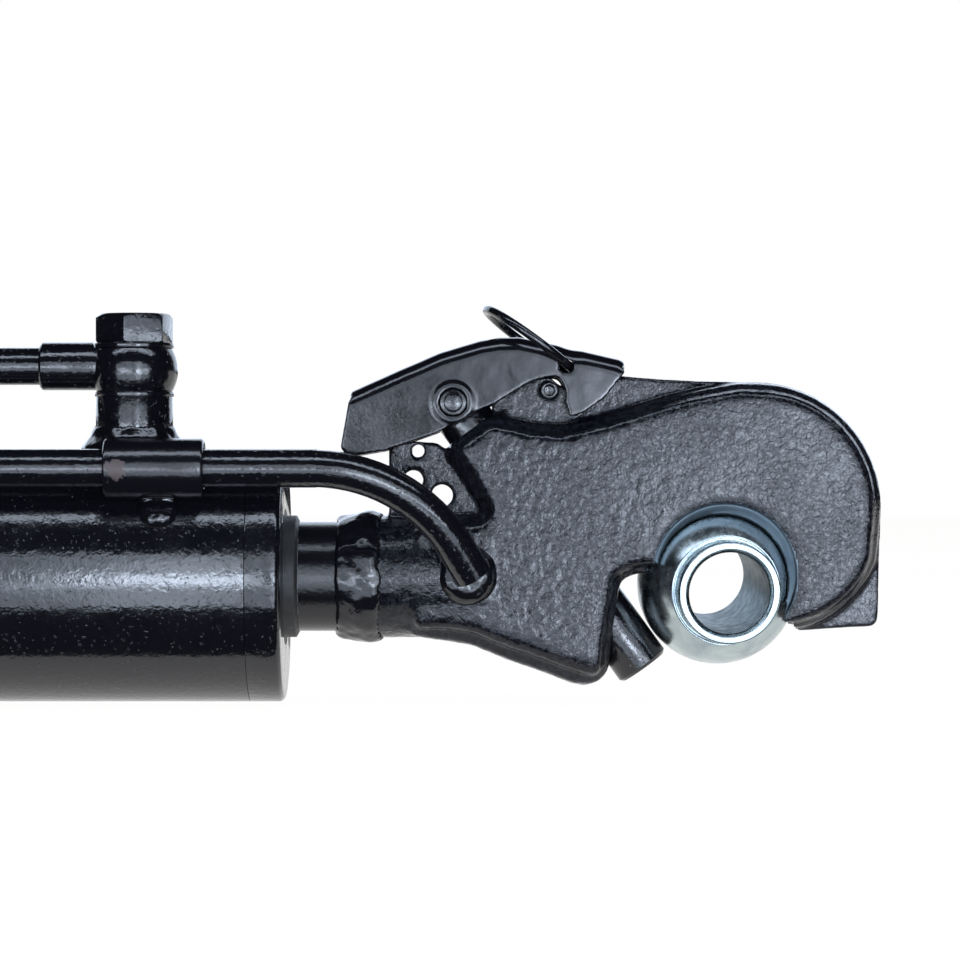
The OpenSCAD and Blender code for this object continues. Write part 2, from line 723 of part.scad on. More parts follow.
module bar_weld() {
    drop = guide_bend_r * (1 - cos(guide_bend_a)) + guide_tail * sin(guide_bend_a);
    color(black) difference() {
        translate([guide_bend_x + guide_bend_r * sin(guide_bend_a) + 4, -hook_t / 2,
            guide_z - drop * cos(guide_lean)]) rotate([90, 0, 0]) rotate_extrude()
                polygon([[0, 0], [9.5, 0], [9.3, 1.6], [7.6, 3.6], [5, 4.6], [0, 4.8]]);
        anti_rotation_bar();
        shank();
    }
}

// A spring pin whose bore is clogged with paint in its middle
module lug_pin() {
    color(black) translate([hook_x, 0, 0]) difference() {
        y_cylinder(pin_x, pin_z, pin_r, pin_len);
        for (s = [-1, 1]) translate([pin_x, s * pin_len / 2, pin_z]) rotate([90, 0, 0])
            translate([0, 0, -pin_depth]) cylinder(r = pin_r - 0.9, h = 2 * pin_depth);
    }
}

module latch_cross_pin() {
    color(steel) on_latch() translate([0, 0, cross_t]) rotate([90, 0, 0]) translate([0, 0, -14.3])
        cylinder(r = cross_r, h = 28.6);
}

// ---- Latch ----

module latch_bar() {
    color(black) on_latch() difference() {
        translate([0, 0, -latch_top]) rotate_extrude() polygon([[0, 0], [latch_r - 2.6, 0], [latch_r, 2.6],
            [latch_r, latch_len - 1], [latch_r - 1, latch_len], [0, latch_len]]);
        translate([-slot_w / 2, -latch_d, slot_t0]) cube([slot_w, 2 * latch_d, slot_t1 - slot_t0]);
        rotate([90, 0, 0]) translate([0, 0, -latch_d]) cylinder(r = rivet_r, h = 2 * latch_d);
    }
}

module latch_spring() {
    color(steel) on_latch() translate([0, 0, cross_t + cross_r + 0.2])
        coil(2.9, 1.1, slot_t1 - cross_t - cross_r - 0.4, 9);
}

module lever_rivet() {
    half = lever_y + 0.9;
    color(black) translate([hook_x, 0, 0]) union() {
        y_cylinder(rivet_x, rivet_z, rivet_r, 2 * half);
        y_cylinder(rivet_x, rivet_z, rivet_tip_r, 2 * half + 1.6);
    }
}

module latch_lever() {
    color(black) translate([hook_x, 0, 0]) difference() {
        union() {
            for (s = [-1, 1]) translate([0, s * (lever_y - sheet_t / 2), 0])
                slab(sheet_t) polygon(claw_outline);
            slab(lever_w - 1) polygon(fold_outline);
            y_cylinder(rivet_x, rivet_z, 6.3, lever_w + 1);
        }
        y_cylinder(rivet_x, rivet_z, 12, lever_w - 2 * sheet_t);
        y_cylinder(rivet_x, rivet_z, rivet_r + 0.1, lever_w + 4);
        y_cylinder(ring_hole_x, ring_hole_z, ring_hole_r, lever_w + 2);
    }
}

module pull_ring() {
    reach = sqrt(ring_r * ring_r - pow(lever_y - sheet_t / 2, 2)) - 0.1;
    color(black) translate([hook_x + ring_hole_x, 0, ring_hole_z]) rotate([0, -ring_lean, 0])
        translate([reach, 0, 0]) rotate([ring_skew, 0, 0]) rotate_extrude($fn = 72)
            translate([ring_r, 0]) circle(r = ring_wire / 2, $fn = 24);
}

module hook_ball() {
    color(zinc) translate([hook_x, 0, seat_z]) rotate([ball_pitch, 0, ball_yaw]) swivel_ball();
}

barrel_tube();
rear_eye_cap();
gland_head();
gland_o_ring();
rod_wiper();
rod_seal();
guide_bush();
front_port_boss();
front_boss_weld();
banjo_bolt();
banjo_washers();
banjo_eye();
oil_pipe();
pipe_nut();
pipe_ferrule();
valve_saddle();
valve_body();
valve_screws();
valve_o_ring();
valve_seats();
valve_plugs();
pilot_piston();
poppet_left();
poppet_right();
poppet_spring_left();
poppet_spring_right();
guide_sleeve();
sleeve_weld();
grease_nipple();
rear_ball();
piston_rod();
piston();
piston_seal();
piston_wear_ring();
piston_nut();
hook_casting();
hook_weld();
anti_rotation_bar();
bar_weld();
lug_pin();
latch_cross_pin();
latch_bar();
latch_spring();
lever_rivet();
latch_lever();
pull_ring();
hook_ball();
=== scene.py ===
"""Hydraulic top link with a quick-coupler hook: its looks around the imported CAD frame, in metres.

The casting, the lever, the welds and the two swivel balls are rebuilt from or over their CAD nodes; the
other nodes keep their meshes and get rounded edges and procedural finishes.
"""
import json
import math

import bmesh
import bpy
import numpy as np
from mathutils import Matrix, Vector, noise


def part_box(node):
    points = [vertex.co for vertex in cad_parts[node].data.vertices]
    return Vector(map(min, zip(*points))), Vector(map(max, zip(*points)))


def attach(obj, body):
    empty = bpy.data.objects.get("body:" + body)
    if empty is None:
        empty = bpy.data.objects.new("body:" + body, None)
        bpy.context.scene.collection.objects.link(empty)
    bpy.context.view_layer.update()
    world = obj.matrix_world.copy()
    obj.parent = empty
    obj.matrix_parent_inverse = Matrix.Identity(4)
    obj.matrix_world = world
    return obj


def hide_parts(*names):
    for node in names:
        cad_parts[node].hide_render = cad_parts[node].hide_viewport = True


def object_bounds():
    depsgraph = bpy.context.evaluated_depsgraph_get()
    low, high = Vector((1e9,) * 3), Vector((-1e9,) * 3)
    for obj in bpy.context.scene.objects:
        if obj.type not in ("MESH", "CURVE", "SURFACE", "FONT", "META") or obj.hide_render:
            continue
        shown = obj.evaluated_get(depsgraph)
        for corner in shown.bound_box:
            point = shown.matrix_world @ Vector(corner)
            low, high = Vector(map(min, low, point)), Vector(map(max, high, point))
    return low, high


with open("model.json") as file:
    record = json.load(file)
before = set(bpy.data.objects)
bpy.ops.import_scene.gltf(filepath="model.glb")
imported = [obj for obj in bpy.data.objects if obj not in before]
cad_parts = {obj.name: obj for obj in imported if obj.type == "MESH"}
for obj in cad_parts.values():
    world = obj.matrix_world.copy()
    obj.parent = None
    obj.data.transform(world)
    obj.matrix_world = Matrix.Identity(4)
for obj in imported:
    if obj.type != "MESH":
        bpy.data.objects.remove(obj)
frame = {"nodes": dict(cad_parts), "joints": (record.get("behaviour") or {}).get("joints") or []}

NODES = frame["nodes"]
CAD_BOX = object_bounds()
MM = 0.001


def centre(node):
    """Middle of a CAD node's box."""
    low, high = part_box(node)
    return (Vector(low) + Vector(high)) / 2


BALL = centre("hook_ball")  # the hook's ball sits at the middle of its seat
LATCH = centre("latch_bar")
RIVET = centre("lever_rivet")
EYELET = next((j["pos_m"][0], j["pos_m"][2]) for j in frame["joints"] if j["name"] == "ring_swing")
HOOK_HALF = 17.5 * MM   # half thickness of the hook's body
PLATE_HALF = 5.5 * MM   # half thickness of the plate round its outline
SEAT_R = 25.8 * MM      # the hook's seat for the ball
SEAT_RIM_R = 21.5 * MM  # the turned chamfer round the seat
SEAT_RIM_SHIFT = (1.6 * MM, 3.0 * MM)   # its centre from the ball's, along X and Z
LATCH_BORE_R = 9.05 * MM
EYELET_R = 3.5 * MM     # the lever's holes for the ring
BALL_R, BALL_HALF, BALL_BORE_R, COLLAR_R = 25.5, 25.5, 12.85, 16.2  # swivel balls, mm

# ---- Camera ----

CAMERA_BACK = 1.16      # distance from the cylinder's axis
CAMERA_LEFT = 0.0758    # how far left of the hook's ball it stands
CAMERA_UP = 0.0308      # height over the cylinder's axis
LENS = 135.9


def add_camera():
    data = bpy.data.cameras.new("camera")
    data.lens = LENS
    data.sensor_width = 36
    data.clip_end = 50
    camera = bpy.data.objects.new("camera", data)
    bpy.context.scene.collection.objects.link(camera)
    camera.location = (BALL.x - CAMERA_LEFT, -CAMERA_BACK, CAMERA_UP)
    camera.rotation_euler = (math.radians(90), 0, 0)
    bpy.context.scene.camera = camera


# ---- Studio ----

FLOOR_Z = CAD_BOX[0][2] - 0.3 * MM
FLOOR_SPLIT = -0.036    # in front of this line the floor stays out of reflections
STUDIO = 6.0            # half width of the floor
PANEL_TINT = (0.74, 0.84, 1.0, 1)
GAP_X, GAP_Z, GAP_DEPTH = 0.45, 0.01, 0.92   # the dark gap in the front softbox


def rectangle(name, corners):
    mesh = bpy.data.meshes.new(name)
    mesh.from_pydata([Vector(c) for c in corners], [], [(0, 1, 2, 3)])
    obj = bpy.data.objects.new(name, mesh)
    bpy.context.scene.collection.objects.link(obj)
    return obj


def floor_material():
    mat = bpy.data.materials.new("floor_white")
    mat.use_nodes = True
    shader = mat.node_tree.nodes["Principled BSDF"]
    shader.inputs["Base Color"].default_value = (0.03, 0.03, 0.03, 1)
    shader.inputs["Roughness"].default_value = 1.0
    shader.inputs["Specular IOR Level"].default_value = 0.0
    shader.inputs["Emission Color"].default_value = (1.0, 1.0, 0.995, 1)
    shader.inputs["Emission Strength"].default_value = 0.985
    return mat


def add_floor():
    """A pale floor in two halves: the front half isn't reflected, so the paint stays deep black."""
    mat = floor_material()
    x0, x1 = BALL.x - STUDIO, BALL.x + STUDIO
    for name, y0, y1 in (("floor_front", -STUDIO, FLOOR_SPLIT), ("floor_back", FLOOR_SPLIT, STUDIO)):
        half = rectangle(name, [(x0, y0, FLOOR_Z), (x1, y0, FLOOR_Z), (x1, y1, FLOOR_Z), (x0, y1, FLOOR_Z)])
        half.data.materials.append(mat)
        half.visible_shadow = False
        half.visible_glossy = name == "floor_back"


class Glow:
    """A panel's emission as a product of soft shapes over its own X and Z."""

    def __init__(self, name):
        self.mat = bpy.data.materials.new(name)
        self.mat.use_nodes = True
        self.tree = self.mat.node_tree
        self.tree.nodes.clear()
        self.shader = self.tree.nodes.new("ShaderNodeEmission")
        self.shader.inputs["Color"].default_value = PANEL_TINT
        out = self.tree.nodes.new("ShaderNodeOutputMaterial")
        self.tree.links.new(self.shader.outputs[0], out.inputs["Surface"])
        self.coords = self.tree.nodes.new("ShaderNodeTexCoord").outputs["Object"]
        split = self.tree.nodes.new("ShaderNodeSeparateXYZ")
        self.tree.links.new(self.coords, split.inputs[0])
        self.along, self.height = split.outputs["X"], split.outputs["Z"]

    def math(self, operation, first, second):
        node = self.tree.nodes.new("ShaderNodeMath")
        node.operation = operation
        for socket, value in zip(node.inputs, (first, second)):
            if isinstance(value, (int, float)):
                socket.default_value = value
            else:
                self.tree.links.new(value, socket)
        return node.outputs[0]

    def hump(self, value, middle, spread, low, high, flat=0.0):
        """high within flat of the middle, and low beyond spread."""
        away = self.math("ABSOLUTE", self.math("SUBTRACT", value, middle), 0.0)
        fall = self.tree.nodes.new("ShaderNodeMapRange")
        fall.interpolation_type = "SMOOTHERSTEP"
        self.tree.links.new(away, fall.inputs["Value"])
        fall.inputs["From Min"].default_value = flat
        fall.inputs["From Max"].default_value = spread
        fall.inputs["To Min"].default_value = high
        fall.inputs["To Max"].default_value = low
        return fall.outputs["Result"]

    def mottle(self, size, low, high):
        """Uneven brightness with patches of the given size, as a studio wall has."""
        noise_node = self.tree.nodes.new("ShaderNodeTexNoise")
        noise_node.inputs["Scale"].default_value = 1 / size
        noise_node.inputs["Detail"].default_value = 2
        self.tree.links.new(self.coords, noise_node.inputs["Vector"])
        fall = self.tree.nodes.new("ShaderNodeMapRange")
        self.tree.links.new(noise_node.outputs["Fac"], fall.inputs["Value"])
        fall.inputs["From Min"].default_value = 0.35
        fall.inputs["From Max"].default_value = 0.65
        fall.inputs["To Min"].default_value = low
        fall.inputs["To Max"].default_value = high
        return fall.outputs["Result"]

    def strength(self, value):
        self.tree.links.new(value, self.shader.inputs["Strength"])
        return self.mat


def add_panel(name, corners, mat):
    panel = rectangle(name, corners)
    panel.data.materials.append(mat)
    panel.visible_camera = False
    panel.visible_shadow = False


def even_panel(name, power):
    glow = Glow(name)
    glow.shader.inputs["Strength"].default_value = power
    return glow.mat


def front_panel():
    """A wide softbox with a bright band, a dark gap left of its middle and uneven cloth."""
    glow = Glow("front_softbox")
    band = glow.hump(glow.height, -0.05, 0.26, 2.6, 9.0)
    right = glow.hump(glow.along, 0.80, 0.25, 1.0, 1.9, 0.04)
    leaning = glow.math("ADD", glow.along, glow.math("MULTIPLY", glow.height, 0.5))
    gap = glow.math("MULTIPLY", glow.hump(leaning, GAP_X, 0.13, 0.0, GAP_DEPTH, 0.05),
                    glow.hump(glow.height, GAP_Z, 0.16, 0.0, 1.0, 0.08))
    shape = glow.math("MULTIPLY", glow.math("MULTIPLY", band, right), glow.math("SUBTRACT", 1.0, gap))
    return glow.strength(glow.math("MULTIPLY", shape, glow.mottle(0.09, 0.5, 1.6)))


def add_lights():
    x0, x1 = BALL.x - 1.6, BALL.x + 1.3
    add_panel("front_softbox", [(x0, -1.5, -0.78), (x1, -1.5, -0.78), (x1, -1.5, 0.58), (x0, -1.5, 0.58)],
              front_panel())
    add_panel("top_softbox", [(x0, -0.92, 1.2), (x1, -0.92, 1.2), (x1, -0.54, 1.2), (x0, -0.54, 1.2)],
              even_panel("top_softbox", 6.0))
    add_panel("back_softbox", [(x0, 1.6, 0.1), (x1, 1.6, 0.1), (x1, 1.3, 1.2), (x0, 1.3, 1.2)],
              even_panel("back_softbox", 2.2))


def add_world():
    """White to the camera, and a dim studio to everything else."""
    world = bpy.data.worlds.new("studio")
    bpy.context.scene.world = world
    world.use_nodes = True
    tree = world.node_tree
    tree.nodes.clear()
    out = tree.nodes.new("ShaderNodeOutputWorld")
    seen = tree.nodes.new("ShaderNodeBackground")
    seen.inputs["Color"].default_value = (1, 1, 1, 1)
    dim = tree.nodes.new("ShaderNodeBackground")
    dim.inputs["Color"].default_value = (0.016, 0.017, 0.022, 1)
    path = tree.nodes.new("ShaderNodeLightPath")
    mix = tree.nodes.new("ShaderNodeMixShader")
    tree.links.new(path.outputs["Is Camera Ray"], mix.inputs[0])
    tree.links.new(dim.outputs[0], mix.inputs[1])
    tree.links.new(seen.outputs[0], mix.inputs[2])
    tree.links.new(mix.outputs[0], out.inputs["Surface"])


# ---- Materials ----

BLACK = (0.0026, 0.0026, 0.0038)


class Finish:
    """A procedural material: a Principled shader with layers of noise for bump, colour and roughness."""

    def __init__(self, name, color, roughness, metallic=0.0):
        self.mat = bpy.data.materials.new(name)
        self.mat.use_nodes = True
        self.tree = self.mat.node_tree
        self.shader = self.tree.nodes["Principled BSDF"]
        self.shader.inputs["Base Color"].default_value = (*color, 1)
        self.shader.inputs["Roughness"].default_value = roughness
        self.shader.inputs["Metallic"].default_value = metallic
        self.coords = self.add("ShaderNodeTexCoord").outputs["Object"]
        self.normal = None

    def add(self, kind, **values):
        node = self.tree.nodes.new(kind)
        for key, value in values.items():
            setattr(node, key, value)
        return node

    def link(self, out, into):
        self.tree.links.new(out, into)

    def math(self, operation, *values):
        node = self.add("ShaderNodeMath", operation=operation)
        for socket, value in zip(node.inputs, values):
            if isinstance(value, (int, float)):
                socket.default_value = value
            else:
                self.link(value, socket)
        return node.outputs[0]

    def axis(self, letter):
        """One of the object's own coordinates."""
        split = self.add("ShaderNodeSeparateXYZ")
        self.link(self.coords, split.inputs[0])
        return split.outputs[letter]

    def noise(self, size, detail=3.0, stretch=(1, 1, 1), warp=0.0):
        """Noise whose features are about size metres, stretched along each axis."""
        mapping = self.add("ShaderNodeMapping")
        mapping.inputs["Scale"].default_value = [1 / s for s in stretch]
        self.link(self.coords, mapping.inputs["Vector"])
        node = self.add("ShaderNodeTexNoise")
        node.inputs["Scale"].default_value = 1 / size
        node.inputs["Detail"].default_value = detail
        node.inputs["Distortion"].default_value = warp
        self.link(mapping.outputs[0], node.inputs["Vector"])
        return node.outputs["Fac"]

    def bump(self, height, depth, mask=None):
        """Adds a layer of bump, depth metres from its lowest to its highest point."""
        if mask is not None:
            height = self.math("MULTIPLY", height, mask)
        node = self.add("ShaderNodeBump")
        node.inputs["Distance"].default_value = depth
        self.link(height, node.inputs["Height"])
        if self.normal is not None:
            self.link(self.normal, node.inputs["Normal"])
        self.normal = node.outputs[0]
        self.link(self.normal, self.shader.inputs["Normal"])

    def between(self, value, low, high, from_low=0.35, from_high=0.65):
        """A value mapped from one range to another."""
        node = self.add("ShaderNodeMapRange")
        self.link(value, node.inputs["Value"])
        node.inputs["From Min"].default_value = from_low
        node.inputs["From Max"].default_value = from_high
        node.inputs["To Min"].default_value = low
        node.inputs["To Max"].default_value = high
        return node.outputs["Result"]

    def roughen(self, size, low, high):
        self.link(self.between(self.noise(size), low, high), self.shader.inputs["Roughness"])

    def blend(self, factor, first, second):
        """A colour that goes from first to second with factor; each is a colour or a socket."""
        node = self.add("ShaderNodeMix", data_type="RGBA")
        self.link(factor, node.inputs["Factor"])
        for socket, value in ((node.inputs["A"], first), (node.inputs["B"], second)):
            if isinstance(value, (tuple, list)):
                socket.default_value = (*value, 1)
            else:
                self.link(value, socket)
        return node.outputs["Result"]

    def tint(self, factor, first, second):
        self.link(self.blend(factor, first, second), self.shader.inputs["Base Color"])

    def attribute(self, name):
        return self.add("ShaderNodeAttribute", attribute_name=name).outputs["Fac"]


def gloss_paint(name="gloss_paint", peel=0.10, grit=0.03):
    """Thick black enamel with orange peel and a few specks under it."""
    paint = Finish(name, BLACK, 0.12)
    paint.shader.inputs["Specular IOR Level"].default_value = 0.6
    paint.bump(paint.noise(2.4 * MM, 2, warp=0.4), peel * MM)
    paint.bump(paint.noise(0.8 * MM, 2), grit * MM)
    specks = paint.between(paint.noise(1.3 * MM, 1), 0, 1, 0.68, 0.73)
    paint.bump(specks, 0.09 * MM)
    paint.roughen(9 * MM, 0.09, 0.16)
    return paint.mat


def cast_paint():
    """The same enamel over a sand casting, worn to bare metal where the ball sits."""
    paint = Finish("cast_paint", BLACK, 0.15)
    paint.shader.inputs["Specular IOR Level"].default_value = 0.34
    bare = paint.attribute("bare")
    rough = paint.between(bare, 1, 0, 0.3, 0.6)
    coarse = paint.between(paint.noise(26 * MM, 1), 0.55, 1.25)
    paint.bump(paint.noise(3.6 * MM, 2, warp=0.5), 0.14 * MM, rough)
    pits = paint.noise(1.7 * MM, 3, warp=0.9)
    paint.bump(pits, 0.24 * MM, paint.math("MULTIPLY", coarse, rough))
    turned = paint.noise(0.35 * MM, 1, stretch=(6, 1, 6))
    paint.bump(turned, 0.01 * MM, bare)
    # Painted sheen: the colour goes a little lighter on the tops of the pitted bumps, where highlights fall
    bump_top_sheen = paint.between(pits, 0.0, 1.0, 0.40, 0.62)
    worn = paint.between(bare, 0, 1, 0.3, 0.6)
    paint.tint(worn, paint.blend(bump_top_sheen, BLACK, (0.010, 0.0105, 0.014)), (0.10, 0.118, 0.135))
    gloss = paint.math("MAXIMUM", paint.between(bare, 0.0, 0.3, 0.3, 0.6),
                       paint.between(pits, 0.04, 0.16, 0.40, 0.62))
    paint.link(gloss, paint.shader.inputs["Roughness"])
    paint.link(worn, paint.shader.inputs["Metallic"])
    return paint.mat


def sheet_paint():
    """Enamel on pressed sheet: smooth over the pivot and gritty at the thumb end."""
    paint = Finish("sheet_paint", BLACK, 0.3)
    gritty = paint.between(paint.axis("X"), 1.0, 0.12, RIVET.x - 0.022, RIVET.x + 0.004)
    paint.bump(paint.noise(6 * MM, 2), 0.06 * MM)
    paint.bump(paint.noise(1.1 * MM, 3, warp=0.6), 0.05 * MM, gritty)
    paint.roughen(7 * MM, 0.10, 0.17)
    return paint.mat


def weld_paint():
    paint = Finish("weld_paint", BLACK, 0.14)
    paint.bump(paint.noise(4.5 * MM, 2, warp=0.5), 0.22 * MM)
    paint.bump(paint.noise(1.1 * MM, 2), 0.04 * MM)
    return paint.mat


def zinc():
    """Blue zinc plate on turned steel; its bore, where a "bore" attribute says so, is rougher and carries
    painted shade: a much darker colour.
    """
    plate = Finish("zinc_plate", (0.4, 0.46, 0.5), 0.24, metallic=1.0)
    cloud = plate.between(plate.noise(11 * MM, 3, warp=0.6), 0, 1, 0.3, 0.7)
    bore = plate.attribute("bore")
    # Painted shade: the bore gets a much darker colour than the outside of the ball
    plate.tint(bore, plate.blend(cloud, (0.29, 0.345, 0.375), (0.52, 0.59, 0.585)), (0.055, 0.095, 0.11))
    plate.bump(plate.noise(0.5 * MM, 1, stretch=(8, 1, 8)), 0.006 * MM)
    dull = plate.math("MULTIPLY_ADD", bore, 0.25, plate.between(plate.noise(3 * MM), 0.18, 0.30))
    plate.link(dull, plate.shader.inputs["Roughness"])
    return plate.mat


def chipped_paint(node):
    """Enamel with a chip down to primer near the left end of a node."""
    paint = Finish("chipped_paint", BLACK, 0.17)
    low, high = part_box(node)
    away = paint.add("ShaderNodeVectorMath", operation="DISTANCE")
    paint.link(paint.coords, away.inputs[0])
    away.inputs[1].default_value = (low[0] + 4 * MM, low[1], (low[2] + high[2]) / 2 - 0.4 * MM)
    ragged = paint.math("MULTIPLY_ADD", paint.noise(2.2 * MM, 3), 7 * MM, away.outputs["Value"])
    chip = paint.between(ragged, 1, 0, 6.3 * MM, 6.9 * MM)
    paint.tint(chip, BLACK, (0.05, 0.036, 0.034))
    paint.link(paint.between(chip, 0.17, 0.5, 0, 1), paint.shader.inputs["Roughness"])
    paint.bump(paint.noise(2.4 * MM, 2, warp=0.4), 0.08 * MM)
    paint.bump(paint.noise(0.8 * MM, 2), 0.03 * MM)
    return paint.mat


def turned_steel(name, color, rough, grain=0.006):
    steel = Finish(name, color, rough, metallic=1.0)
    steel.bump(steel.noise(0.4 * MM, 2, stretch=(1, 12, 12)), grain * MM)
    steel.tint(steel.between(steel.noise(8 * MM), 0, 1), [c * 0.85 for c in color], color)
    steel.roughen(2.5 * MM, rough - 0.05, rough + 0.07)
    return steel.mat


def rubber():
    seal = Finish("seal_rubber", (0.012, 0.012, 0.012), 0.55)
    seal.bump(seal.noise(0.7 * MM, 3), 0.02 * MM)
    seal.roughen(2 * MM, 0.5, 0.65)
    return seal.mat


def rod_finish():
    """Hard chrome, painted black over the stub next to the hook."""
    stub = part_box("gland_head")[1][0] + 4.4 * MM
    rod = Finish("hard_chrome", (0.62, 0.64, 0.66), 0.1)
    ragged = rod.math("MULTIPLY_ADD", rod.noise(3 * MM), 1.2 * MM, rod.axis("X"))
    painted = rod.between(ragged, 0, 1, stub + 0.5 * MM, stub + 0.8 * MM)
    rod.tint(painted, (0.62, 0.64, 0.66), BLACK)
    rod.link(rod.between(painted, 1, 0, 0, 1), rod.shader.inputs["Metallic"])
    rod.link(rod.between(painted, 0.08, 0.2, 0, 1), rod.shader.inputs["Roughness"])
    rod.bump(rod.noise(1.1 * MM, 3), 0.09 * MM, painted)
    rod.bump(rod.noise(0.2 * MM, 1, stretch=(1, 10, 10)), 0.001 * MM)
    return rod.mat


# ---- Mesh work ----

def copy_of(node, name):
    """A welded copy of a CAD node, as a new object."""
    work = bmesh.new()
    work.from_mesh(NODES[node].data)
    bmesh.ops.remove_doubles(work, verts=work.verts, dist=1e-6)
    mesh = bpy.data.meshes.new(name)
    work.to_mesh(mesh)
    work.free()
    obj = bpy.data.objects.new(name, mesh)
    bpy.context.scene.collection.objects.link(obj)
    return obj


def remesh(obj, voxel):
    """Even quads of about voxel metres all over, ready for sculpting in code."""
    step = obj.modifiers.new("even", "REMESH")
    step.mode = "VOXEL"
    step.voxel_size = voxel
    graph = bpy.context.evaluated_depsgraph_get()
    mesh = bpy.data.meshes.new_from_object(obj.evaluated_get(graph))
    obj.modifiers.clear()
    obj.data = mesh
    mesh.polygons.foreach_set("use_smooth", [True] * len(mesh.polygons))


def points(mesh):
    flat = np.zeros(len(mesh.vertices) * 3)
    mesh.vertices.foreach_get("co", flat)
    return flat.reshape(-1, 3)


def set_points(mesh, co):
    mesh.vertices.foreach_set("co", co.ravel())
    mesh.update()


def normals(mesh):
    flat = np.zeros(len(mesh.vertices) * 3, np.float32)
    mesh.vertex_normals.foreach_get("vector", flat)
    return flat.reshape(-1, 3).astype(float)


def relax(mesh, co, turns, weight=None):
    """Laplacian smoothing; weight from 0 to 1 says how much each point may move."""
    ends = np.zeros(len(mesh.edges) * 2, np.int64)
    mesh.edges.foreach_get("vertices", ends)
    a, b = ends.reshape(-1, 2).T
    count = np.bincount(np.concatenate([a, b]), minlength=len(co))[:, None]
    share = 0.5 if weight is None else 0.5 * weight[:, None]
    for _ in range(turns):
        total = np.zeros_like(co)
        for axis in range(3):
            total[:, axis] = (np.bincount(a, co[b, axis], len(co)) + np.bincount(b, co[a, axis], len(co)))
        co = co + share * (total / count - co)
    return co


def lumps(co, size, seed):
    """Smooth noise between about -1 and 1, with features of the given size."""
    shift = Vector((seed * 7.3, seed * 3.1, seed * 5.7))
    return np.array([noise.noise(Vector(p) / size + shift) for p in co])


def ramp(value, low, high):
    t = np.clip((value - low) / (high - low), 0, 1)
    return t * t * (3 - 2 * t)


def round_corner(u, v, radius):
    """Turns a square corner into a round one: u and v are the depths under its two faces."""
    du, dv = np.clip(radius - u, 0, None), np.clip(radius - v, 0, None)
    longest, length = np.maximum(du, dv), np.hypot(du, dv)
    scale = np.where(length > 0, longest / np.maximum(length, 1e-12), 1)
    return (du - du * scale), (dv - dv * scale)


def keep_attribute(mesh, name, values):
    attribute = mesh.attributes.new(name, "FLOAT", "POINT")
    attribute.data.foreach_set("value", values.astype(np.float32))


def stand_in(obj, body, node, mat):
    """Puts a finished piece in place of a CAD node."""
    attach(obj, body)
    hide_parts(node)
    obj.data.materials.clear()
    obj.data.materials.append(mat)


def hook():
    """The casting: rounded walls, a full belly, sand-cast lumps, and a machined seat and bore."""
    obj = copy_of("hook_casting", "hook_casting_skin")
    remesh(obj, 0.65 * MM)
    mesh = obj.data
    co = points(mesh)
    side = np.sign(co[:, 1])
    depth = np.abs(co[:, 1])

    # The underside from the shank to the chin is a full round
    bins = np.floor(co[:, 0] / MM).astype(int)
    lowest = {b: co[bins == b, 2].min() for b in np.unique(bins)}
    under = co[:, 2] - np.array([lowest[b] for b in bins])
    behind = BALL.x - co[:, 0]
    belly = (1 - ramp(behind, 85 * MM, 100 * MM)) * ramp(behind, 38 * MM, 45 * MM)
    inward, lift = round_corner(HOOK_HALF - depth, under, 10 * MM)
    co[:, 1] -= side * inward * belly
    co[:, 2] += lift * belly

    # Distance from the seat's and the latch bore's surfaces, which stay true
    from_ball = np.linalg.norm(co - np.array(BALL), axis=1)
    cone = np.hypot(co[:, 0] - BALL.x - SEAT_RIM_SHIFT[0], co[:, 2] - BALL.z - SEAT_RIM_SHIFT[1])
    axis = np.array(joint_axis("latch_slide"))
    off = co - np.array(LATCH)
    from_latch = np.linalg.norm(off - np.outer(off @ axis, axis), axis=1)
    machined = np.minimum(np.minimum(np.abs(from_ball - SEAT_R), np.abs(from_latch - LATCH_BORE_R)),
                          np.abs(cone - SEAT_RIM_R) + np.where(depth > 12.5 * MM, 0, 1))
    free = ramp(machined, 0.6 * MM, 2.5 * MM)
    walls = ramp(depth, PLATE_HALF + 0.3 * MM, PLATE_HALF + 2 * MM)
    co = relax(mesh, co, 34, free * walls)
    co = relax(mesh, co, 3, ramp(machined, 0.5 * MM, 1.2 * MM))
    set_points(mesh, co)

    height = 0.09 * lumps(co, 3.4 * MM, 1) + 0.075 * lumps(co, 1.7 * MM, 2)
    busy = 0.55 + 0.9 * ramp(-co[:, 0], -(BALL.x - 0.01), -(BALL.x - 0.055))
    co = co + normals(mesh) * (height * busy * ramp(machined, 0.8 * MM, 3 * MM) * MM)[:, None]

    # True the seat; the latch bore was kept out of the smoothing and the lumps
    ball_side = co - np.array(BALL)
    length = np.linalg.norm(ball_side, axis=1)
    seat = (np.abs(length - SEAT_R) < 0.7 * MM) | (length < SEAT_R)
    co[seat] = np.array(BALL) + ball_side[seat] * (SEAT_R / length[seat])[:, None]
    set_points(mesh, co)

    cone = np.hypot(co[:, 0] - BALL.x - SEAT_RIM_SHIFT[0], co[:, 2] - BALL.z - SEAT_RIM_SHIFT[1])
    length = np.linalg.norm(co - np.array(BALL), axis=1)
    bare = np.where(length < SEAT_R + 0.4 * MM, 1.0, 0.0)
    on_cone = (np.abs(co[:, 1]) > 11 * MM) & (cone < 23.2 * MM) & (length < SEAT_R + 9 * MM)
    keep_attribute(mesh, "bare", np.maximum(bare, on_cone.astype(float)))
    stand_in(obj, "rod", "hook_casting", cast_paint())


